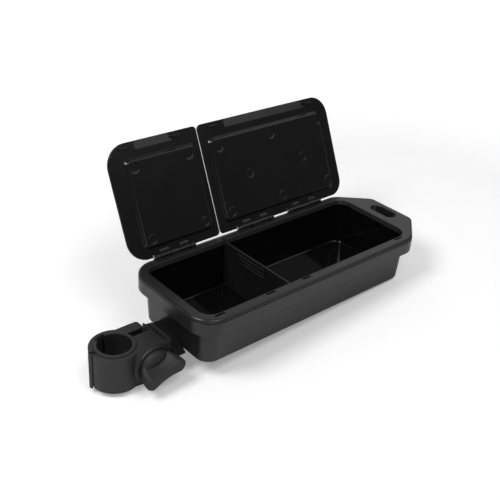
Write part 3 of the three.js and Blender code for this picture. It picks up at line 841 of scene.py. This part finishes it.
# ---- screws and pins ----
def cross_recess(axis, centre, start, end):
    """Two crossed slots, for a screw head that faces along its axis."""
    tools = []
    for half_1, half_2 in ((0.3, 1.2), (1.2, 0.3)):
        first, second, along = AXES[axis]
        low = [0.0, 0.0, 0.0]
        high = [0.0, 0.0, 0.0]
        low[first], high[first] = centre[first] - half_1, centre[first] + half_1
        low[second], high[second] = centre[second] - half_2, centre[second] + half_2
        low[along], high[along] = start, end
        tools.append(block(low[0], high[0], low[1], high[1], low[2], high[2]))
    return tools


def threaded(axis, centre, start, end, radius, pitch, crest=0.2):
    """A shank with ring-shaped thread crests."""
    profile = []
    turns = round((end - start) / pitch)
    for i in range(turns):
        base = start + (end - start) * i / turns
        profile.append((radius - crest, base))
        profile.append((radius, base + 0.5 * (end - start) / turns))
    profile.append((radius - crest, end))
    return lathe(axis, centre, profile, 32)


def frame_screws():
    for i, (x, y) in enumerate(frame_screw_places(), 1):
        low, high = corners(f"frame_screw_{i}")
        centre = (x, y, 0)
        head_top = low.z + 1.6
        profile = [(1.3, low.z), (1.8, low.z + 0.25), (2, low.z + 0.8), (2, head_top)]
        head = lathe("Z", centre, profile, 40)
        shank = threaded("Z", centre, head_top - 0.3, high.z, 1.0, 0.7)
        recess = cross_recess("Z", centre, low.z - 1, low.z + 0.8)
        screw = cut(join(head, shank), *recess)
        name = f"frame_screw_body_{i}"
        finish(screw, name, "tray", "steel", (steel,), f"frame_screw_{i}")


def rail_screws():
    for i, (y, z) in enumerate(rail_screw_places(), 1):
        low, high = corners(f"rail_screw_{i}")
        centre = (0, y, z)
        profile = [
            (3.2, high.x - 1.6), (3.2, high.x - 0.9), (2.8, high.x - 0.3), (2, high.x),
        ]
        head = lathe("X", centre, profile, 48)
        shank = threaded("X", centre, low.x, high.x - 1.4, 1.2, 0.9)
        recess = cross_recess("X", centre, high.x - 0.9, high.x + 1)
        screw = cut(join(head, shank), *recess)
        finish(screw, f"rail_screw_body_{i}", "tray", "steel", (steel,), f"rail_screw_{i}")


def hinge_pins():
    starts = [start for lid_name in HINGES for start in HINGES[lid_name]]
    for name, start in zip(PINS, starts):
        shank = rod("X", HINGE, start - 0.6, start + HINGE_LENGTH, PIN_R, 0.2, 32)
        profile = [
            (0.8, start - PIN_HEAD), (1.2, start - 1.1), (1.45, start - 0.8),
            (1.45, start - GAP),
        ]
        pin = join(shank, lathe("X", HINGE, profile, 32))
        finish(pin, f"hinge_pin_rod_{name}", "tray", "steel", (steel,), f"hinge_pin_{name}")


# ---- rail on the tub's end wall ----
def mount_rail():
    """The dovetail that the clamp slides on, with its backing, a ramp in front and a stop."""
    face = PLATE_X1 + GAP
    inner = face + 0.9
    wall = rail_high.x
    upper_wall = wall + 0.5
    dovetail = [
        (face + 1, RAIL_TOP), (face, RAIL_TOP), (face, 9.5), (face - 4.4, 11.5),
        (face - 4.4, -1.5), (face, RAIL_FOOT), (face + 1, RAIL_FOOT),
    ]
    backing = [
        (inner, RAIL_FOOT), (wall, RAIL_FOOT), (wall, 3.5), (upper_wall - 0.1, 8),
        (upper_wall, RAIL_TOP), (inner, RAIL_TOP),
    ]
    front = rail_low.y
    back = rail_high.y
    ramp_top = PLATE_Y0 + 1
    ramp = [
        (front, RAIL_FOOT), (ramp_top, RAIL_FOOT), (ramp_top, RAIL_TOP), (front, RAMP_END),
    ]
    stop = block(face - 3.8, face + 3, PLATE_Y1 + GAP, back, RAIL_FOOT, STOP_TOP)
    whole = join(
        soften(prism("X", ramp, inner, wall), 0.4),
        soften(prism("Y", backing, PLATE_Y0, back), 0.5),
        soften(prism("Y", dovetail, PLATE_Y0, PLATE_Y1 - 0.4), 0.25),
        soften(stop, 0.5),
    )
    pilot_tip = -141.5
    pilot_mouth = -120
    pilots = [
        rod("X", (0, y, z), pilot_tip, pilot_mouth, 1.5, steps=24)
        for y, z in rail_screw_places()
    ]
    whole = cut(whole, *pilots)
    finish(whole, "mount_rail_moulding", "tray", "satin_black", (satin,), "mount_rail")


# ---- leg clamp ----
def around_bore(radius):
    """Arcs of a circle around the bore, as a square with fully rounded corners."""
    return rectangle(
        BORE.x - radius, BORE.x + radius, BORE.y - radius, BORE.y + radius, radius - 0.01)


def clamp_sections():
    return [*round_foot(0, CLAMP_LOW, 2.0, 6), *round_top(0, CLAMP_TOP, 1.0, 5)]


def bore_tools():
    """The bore, and the seat for the bush's flange."""
    return [
        rod("Z", BORE, CLAMP_LOW - 1, CLAMP_TOP + 1, CLAMP_BORE_R, steps=96),
        rod("Z", BORE, CLAMP_TOP - 1.4, CLAMP_TOP + 1, BUSH_FLANGE_R + 0.3, steps=96),
    ]


def arm(x1, y0, y1, radius):
    """A bar from the bore to x1, under the ring's edges."""
    arcs = corner_arcs([(BORE.x, y0, 0.5), (x1, y0, radius), (x1, y1, radius), (BORE.x, y1, 0.5)])
    return loft(arcs, clamp_sections(), 8)


def boss():
    """The knob's round seat, with a flank that flares into the arm and the ring."""
    profile = [
        (BOSS_R - 0.8, BOSS_FACE),
        (BOSS_R - 0.2, BOSS_FACE + 0.25),
        (BOSS_R, BOSS_FACE + 0.9),
    ]
    steps = 8
    for i in range(steps + 1):
        share = i / steps
        radius = BOSS_R + 0.2 + BOSS_FLARE * share * share
        profile.append((radius, BOSS_FACE + 1.2 + 2.4 * share))
    profile.append((BOSS_R + 0.2 + BOSS_FLARE, ARM_FRONT + 2))
    round_part = lathe("Y", KNOB, profile, 96)
    limits = block(-210, PLATE_X1 - 0.4, BOSS_FACE - 1, 0, CLAMP_LOW + 0.3, CLAMP_TOP - 0.3)
    return meet(round_part, limits)


def cross_plate():
    """The shoe that slides along the rail. Its dished top reaches over the rail."""
    steps = 16
    top = []
    for i in range(steps + 1):
        share = 0.06 + 0.88 * i / steps
        ridge = SADDLE_RIDGE + (CLAMP_TOP - SADDLE_RIDGE) * share
        across = SADDLE_X1 + (PLATE_X0 - SADDLE_X1) * share
        top.append((across, ridge - SADDLE_DIP * math.sin(math.pi * i / steps)))
    section = [
        (PLATE_X0, CLAMP_LOW), (PLATE_X1, CLAMP_LOW), (PLATE_X1, SADDLE_LOW),
        (SADDLE_X1, SADDLE_LOW), (SADDLE_X1, SADDLE_RIDGE - 0.6),
        *top, (PLATE_X0, CLAMP_TOP - 0.6),
    ]
    return soften(prism("Y", section, PLATE_Y0, PLATE_Y1), 0.5)


def clamp_body():
    """The clamp's front half: its ring, arm, knob seat, shoe and the bead that the jaw hooks on."""
    disc = loft(around_bore(CLAMP_R), clamp_sections(), 24)
    front_half = block(CLEAR_X, BORE.x + 27.7, SEAM_Y, 50, -CLEAR_Z, CLEAR_Z)
    front_disc = cut(disc, front_half)
    front_arm = arm(PLATE_X0 + 2, ARM_FRONT, SLOT_FRONT, 1)
    whole = join(front_disc, front_arm, boss(), cross_plate())
    dovetail = [
        (PLATE_X1 + 1, 9.9), (PLATE_X1 - 4.5, 12.3), (PLATE_X1 - 4.5, -2.3), (PLATE_X1 + 1, 0.1),
    ]
    whole = cut(
        whole, *bore_tools(),
        rod("Y", KNOB, BOSS_FACE - 1, BOSS_FACE + 1, DISH_R, steps=96),
        rod("Y", KNOB, BOSS_FACE - 10, 20, BOLT_R + 0.35),
        rod("Y", KNOB, BOSS_FACE, BOSS_FACE + WASHER_SEAT, WASHER_SEAT_R),
        rod("Z", HOOK, -CLEAR_Z, CLEAR_Z, SOCKET_R + GAP),
    )
    bead = rod("Z", HOOK, CLAMP_LOW + 1.3, CLAMP_TOP - 1.3, BEAD_R, 0.3, 32)
    neck = block(
        HOOK.x - 0.8, HOOK.x + 0.8, HOOK.y - 5.2, HOOK.y, CLAMP_LOW + 1.5, CLAMP_TOP - 1.5)
    whole = join(whole, bead, neck)
    whole = cut(whole, prism("Y", dovetail, PLATE_Y0 - 1, PLATE_Y1 + 1))
    finish(whole, "clamp_body_moulding", "clamp", "clamp_black", (nylon,), "clamp_body")


def clamp_jaw():
    """The clamp's back half, with its own arm and a hooked edge around the bead."""
    disc = loft(around_bore(CLAMP_R), clamp_sections(), 24)
    back_disc = cut(
        disc,
        block(CLEAR_X, -140, -30, SEAM_Y + 0.8, -CLEAR_Z, CLEAR_Z),
        block(BORE.x, -140, -30, SLOT_BACK, -CLEAR_Z, CLEAR_Z),
    )
    socket = rod("Z", HOOK, CLAMP_LOW, CLAMP_TOP, SOCKET_R, 0.4)
    half = join(back_disc, arm(BACK_ARM_X, SLOT_BACK, BACK_ARM_Y, 3), socket)
    mark_place = (jaw_high.x - 9, BACK_ARM_Y - 5.4, 0)
    mark = rod("Z", mark_place, CLAMP_TOP - 0.25, CLAMP_TOP + 1, 3.2)
    mark_island = rod("Z", mark_place, CLAMP_TOP - 1, CLAMP_TOP - 0.02, 2.8)
    half = cut(
        half, *bore_tools(), mark,
        rod("Z", HOOK, -CLEAR_Z, CLEAR_Z, BEAD_R + 0.25, steps=32),
        block(HOOK.x - 1.7, HOOK.x + 1.7, HOOK.y - 6, HOOK.y, -CLEAR_Z, CLEAR_Z),
        rod("Y", KNOB, 0, 40, BOLT_R + 1.3),
        rod("Y", KNOB, BORE.y + 13.3, BORE.y + 20, NUT_SOCKET_R, steps=6),
    )
    whole = join(half, mark_island)
    finish(whole, "clamp_jaw_moulding", "jaw", "clamp_black", (nylon,), "clamp_jaw")


def reducer_bush():
    """A split liner with a flange on top and a small lip at the foot of its bore."""
    top = bush_high.z
    sleeve = rod("Z", BORE, bush_low.z, CLAMP_TOP, CLAMP_BORE_R - 0.3, 0.5, 96)
    flange_sections = [(0, CLAMP_TOP - 1), *round_top(0, top, 0.6, 5)]
    flange = loft(around_bore(BUSH_FLANGE_R), flange_sections, 24)
    hole = lathe("Z", BORE, [
        (BUSH_BORE_R - 0.8, bush_low.z - 1), (BUSH_BORE_R - 0.8, bush_low.z + 1.6),
        (BUSH_BORE_R, bush_low.z + 2.2), (BUSH_BORE_R, top - 0.7),
        (BUSH_BORE_R + 0.2, top - 0.2), (BUSH_BORE_R + 0.7, top), (BUSH_BORE_R + 0.7, top + 1),
    ], 96)
    reach = 2 * BUSH_FLANGE_R
    wedge = [(BORE.x, BORE.y)]
    for degrees in (91, 110, 128):
        angle = math.radians(degrees)
        wedge.append((BORE.x + reach * math.cos(angle), BORE.y + reach * math.sin(angle)))
    ring = cut(join(sleeve, flange), hole, prism("Z", wedge, -CLEAR_Z, CLEAR_Z))
    finish(ring, "reducer_bush_moulding", "bush", "clamp_black", (nylon,), "reducer_bush")


# ---- clamping screw, drawn about the Y axis with its seat at y = 0 ----
KNOB_R = 15.7
WING_HALF = 20.6
WING_END = 14.0  # where the rounded ends start
WING_WAIST = 4.6
WING_WIDE = 6.8
WING_FOOT = 5.0
WING_FACE = 19.0
WING_EDGE = 1.6  # rounding of the wing's outer edge
WING_TAPER = 0.16  # how much shorter and wider the wing is at its foot
WING_SPREAD = 0.45
HEAD_R = 5.2  # the bolt's head, washer and nut
WASHER_R = 6
NUT_R = 5.9


def wing_outline(stretch, swell, inset):
    """Half-widths along the wing: waisted in the middle and round at the ends."""
    samples = 28
    upper = []
    for i in range(samples + 1):
        angle = math.pi * i / samples
        x = WING_HALF * math.cos(angle)
        inner = min(1.0, abs(x) / WING_END)
        half = WING_WAIST + (WING_WIDE - WING_WAIST) * inner * inner
        if abs(x) > WING_END:
            share = (abs(x) - WING_END) / (WING_HALF - WING_END)
            half *= math.sqrt(max(0.0, 1 - share * share))
        upper.append((x * (stretch - inset / WING_HALF), max(0.15, half * swell - inset)))
    return upper + [(-x, -half) for x, half in upper]


def wing_ring(depth, stretch, swell, inset):
    return [(x, -depth, z) for x, z in wing_outline(stretch, swell, inset)]


def wing():
    """The grip: it flares into the dome at its foot, and its outer edge is rounded."""
    rings = []
    straight = WING_FACE - WING_FOOT - WING_EDGE
    steps = 8
    for i in range(steps + 1):
        share = i / steps
        hollow = (1 - share) ** 2
        depth = WING_FOOT + straight * share
        rings.append(wing_ring(depth, 1 - WING_TAPER * hollow, 1 + WING_SPREAD * hollow, 0))
    for inset, depth in round_top(0, WING_FACE, WING_EDGE, 6)[1:]:
        rings.append(wing_ring(depth, 1, 1, -inset))
    return skin(rings)


def wing_knob():
    """A domed disc with a wing across it, hollow behind for the bolt's head."""
    dome = [
        (KNOB_R - 0.6, 0.3), (KNOB_R - 0.2, 0.45), (KNOB_R, 0.9), (KNOB_R, 3.6),
        (KNOB_R - 0.2, 4.5), (KNOB_R - 0.8, 5.5), (KNOB_R - 1.8, 6.4), (KNOB_R - 3.4, 7.2),
        (KNOB_R - 5.6, 7.8), (KNOB_R - 8.6, 8.3), (KNOB_R - 12.0, 8.55), (0.5, 8.6),
    ]
    profile = [(radius, -height) for radius, height in reversed(dome)]
    whole = join(lathe("Y", ORIGIN, profile, 96), wing())
    whole = cut(
        whole,
        rod("Y", ORIGIN, -4.7, 1, HEX_R, steps=6),
        rod("Y", ORIGIN, -8, 1, BOLT_R + 0.3),
    )
    move(whole, grip_place())
    finish(whole, "wing_knob_moulding", "knob", "clamp_black", (knob_nylon,), "wing_knob")


def grip_place():
    """The knob's place and the turn of its wing when the clamp is tight."""
    return Matrix.Translation(KNOB) @ Matrix.Rotation(-KNOB_TILT, 4, "Y")


def clamp_bolt():
    """A hexagon-head bolt, its head held inside the knob."""
    end = corners("clamp_bolt")[1].y - KNOB.y
    head = meet(
        rod("Y", ORIGIN, -4.4, -0.9, HEAD_R, steps=6),
        rod("Y", ORIGIN, -4.4, -0.9, HEAD_R - 0.1, 0.5, 48),
    )
    plain = rod("Y", ORIGIN, -2, 12, BOLT_R - 0.05)
    thread = threaded("Y", ORIGIN, 11.5, end - 0.8, BOLT_R, 1.0, 0.3)
    point = lathe("Y", ORIGIN, [(BOLT_R - 0.3, end - 1), (BOLT_R - 0.9, end)], 32)
    whole = join(head, plain, thread, point)
    move(whole, grip_place())
    finish(whole, "clamp_bolt_body", "knob", "steel", (steel,), "clamp_bolt")


def washer_and_nut():
    low, high = corners("bolt_washer")
    washer = rod("Y", KNOB, low.y, high.y, WASHER_R, 0.25, 64)
    washer = cut(washer, rod("Y", KNOB, low.y - 1, high.y + 1, BOLT_R + 0.3))
    finish(washer, "bolt_washer_disc", "knob", "steel", (steel,), "bolt_washer")
    low, high = corners("jaw_nut")
    nut = meet(
        rod("Y", KNOB, low.y, high.y, NUT_R, steps=6),
        rod("Y", KNOB, low.y, high.y, NUT_R - 0.05, 0.6, 64),
    )
    nut = cut(nut, rod("Y", KNOB, low.y - 1, high.y + 1, BOLT_R + 0.8))
    finish(nut, "jaw_nut_body", "jaw", "steel", (steel,), "jaw_nut")


tub()
top_frame()
divider()
lid(LEFT_LID)
lid(RIGHT_LID)
frame_screws()
rail_screws()
hinge_pins()
mount_rail()
clamp_body()
clamp_jaw()
reducer_bush()
wing_knob()
clamp_bolt()
washer_and_nut()


# ---- floor, light and camera, in metres ----
FLOOR_TOUCH_X = 0.127  # the tub's far bottom edge; the clamp's lower edge is the other support
FLOOR_SLOPE = math.atan2(-CLAMP_LOW * MM, FLOOR_TOUCH_X - PLATE_X1 * MM)
FLOOR_DROP = 0.0003
FLOOR_HALF = 20.0
FLOOR_NEAR = 0.26  # strength of the floor's painted glow, which lifts it towards white, beside the object and far from it
FLOOR_FAR = 0.75
FADE_START = 0.28
FADE_END = 0.8
TARGET = Vector((-0.02, 0.0, 0.03))
ROOM_LIGHT = 0.1
BACKDROP_LIGHT = 1.1


def floor_material():
    """A matt pale floor with a painted glow: the camera sees it emit light that lifts it towards
    white, more away from the object.
    """
    material, nodes, links, shader, place_of = node_tree("pale_floor")
    tone = blend_colours(
        nodes, links, remap(nodes, links, noise(nodes, links, place_of, 60, 2.0), 0.0, 1.0),
        (0.90, 0.90, 0.90), (0.92, 0.92, 0.92))
    links.new(tone, shader.inputs["Base Color"])
    shader.inputs["Roughness"].default_value = 0.9
    shader.inputs["Specular IOR Level"].default_value = 0.1
    reach = nodes.new("ShaderNodeVectorMath")
    reach.operation = "LENGTH"
    links.new(place_of.outputs["Object"], reach.inputs[0])
    # Painted glow: the floor emits light for the camera only, weaker beside the object and stronger
    # far from it.
    lift = remap(
        nodes, links, reach.outputs["Value"], FLOOR_NEAR, FLOOR_FAR, FADE_START, FADE_END)
    path = nodes.new("ShaderNodeLightPath")
    camera_glow = nodes.new("ShaderNodeMath")
    camera_glow.operation = "MULTIPLY"
    links.new(lift, camera_glow.inputs[0])
    links.new(path.outputs["Is Camera Ray"], camera_glow.inputs[1])
    shader.inputs["Emission Color"].default_value = (1, 1, 1, 1)
    links.new(camera_glow.outputs["Value"], shader.inputs["Emission Strength"])
    return material


def studio_floor():
    """The floor that the clamp and the tub's far end both rest on, so it slopes a little."""
    half = FLOOR_HALF
    mesh = bpy.data.meshes.new("floor")
    corner_points = [(-half, -half, 0), (half, -half, 0), (half, half, 0), (-half, half, 0)]
    mesh.from_pydata(corner_points, [], [(0, 1, 2, 3)])
    floor = bpy.data.objects.new("floor", mesh)
    bpy.context.scene.collection.objects.link(floor)
    tilt = Matrix.Rotation(-FLOOR_SLOPE, 4, "Y")
    floor.matrix_world = Matrix.Translation((FLOOR_TOUCH_X, 0, -FLOOR_DROP)) @ tilt
    mesh.materials.append(floor_material())


def studio_world():
    """A dim room for what the object reflects, and white where the camera looks past it."""
    world = bpy.data.worlds.new("studio")
    world.use_nodes = True
    nodes = world.node_tree.nodes
    links = world.node_tree.links
    room = nodes["Background"]
    room.inputs["Strength"].default_value = ROOM_LIGHT
    white = nodes.new("ShaderNodeBackground")
    room.inputs["Color"].default_value = (1, 1, 1, 1)
    white.inputs["Color"].default_value = (1, 1, 1, 1)
    white.inputs["Strength"].default_value = BACKDROP_LIGHT
    path = nodes.new("ShaderNodeLightPath")
    choice = nodes.new("ShaderNodeMixShader")
    links.new(path.outputs["Is Camera Ray"], choice.inputs["Fac"])
    links.new(room.outputs["Background"], choice.inputs[1])
    links.new(white.outputs["Background"], choice.inputs[2])
    links.new(choice.outputs["Shader"], nodes["World Output"].inputs["Surface"])
    bpy.context.scene.world = world


def softbox(name, direction, distance, width, height, radiance):
    """An area light with the given radiance, aimed at the tray."""
    light = bpy.data.lights.new(name, "AREA")
    light.shape = "RECTANGLE"
    light.size = width
    light.size_y = height
    light.energy = radiance * math.pi * width * height
    lamp = bpy.data.objects.new(name, light)
    bpy.context.scene.collection.objects.link(lamp)
    where = Vector(direction).normalized()
    turn = where.to_track_quat("Z", "Y").to_matrix().to_4x4()
    lamp.matrix_world = Matrix.Translation(TARGET + where * distance) @ turn


def studio_lights():
    softbox("back_softbox", (0.5, 0.75, 0.62), 1.5, 2.2, 1.4, 0.55)
    softbox("front_softbox", (0.485, -0.62, 0.64), 1.4, 1.0, 0.5, 0.85)
    softbox("right_softbox", (0.6, -0.1, 0.78), 1.4, 0.6, 0.8, 0.8)
    softbox("low_softbox", (-0.5, -0.84, 0.19), 1.3, 0.6, 0.28, 1.9)
    softbox("top_softbox", (-0.06, -0.5, 0.86), 1.4, 0.65, 0.45, 5.25)
    softbox("left_softbox", (-0.62, 0.1, 0.78), 1.4, 0.5, 0.6, 10.5)


def studio_camera():
    azimuth = math.radians(-42.42)
    elevation = math.radians(30.07)
    roll = math.radians(3.96)
    distance = 0.7678
    aim = Vector((-0.02699, 0.0181, 0.0525))
    back = Vector((
        math.sin(azimuth) * math.cos(elevation),
        -math.cos(azimuth) * math.cos(elevation),
        math.sin(elevation),
    ))
    level = Vector((math.cos(azimuth), math.sin(azimuth), 0))
    upright = back.cross(level)
    right = level * math.cos(roll) + upright * math.sin(roll)
    up = upright * math.cos(roll) - level * math.sin(roll)
    camera = bpy.data.objects.new("camera", bpy.data.cameras.new("camera"))
    camera.data.lens = 57.43
    camera.data.sensor_width = 36
    camera.data.clip_start = 0.01
    bpy.context.scene.collection.objects.link(camera)
    turn = Matrix((right, up, back)).transposed().to_4x4()
    camera.matrix_world = Matrix.Translation(aim + back * distance) @ turn
    bpy.context.scene.camera = camera


studio_floor()
studio_world()
studio_lights()
studio_camera()
bpy.context.scene.view_settings.view_transform = "Standard"
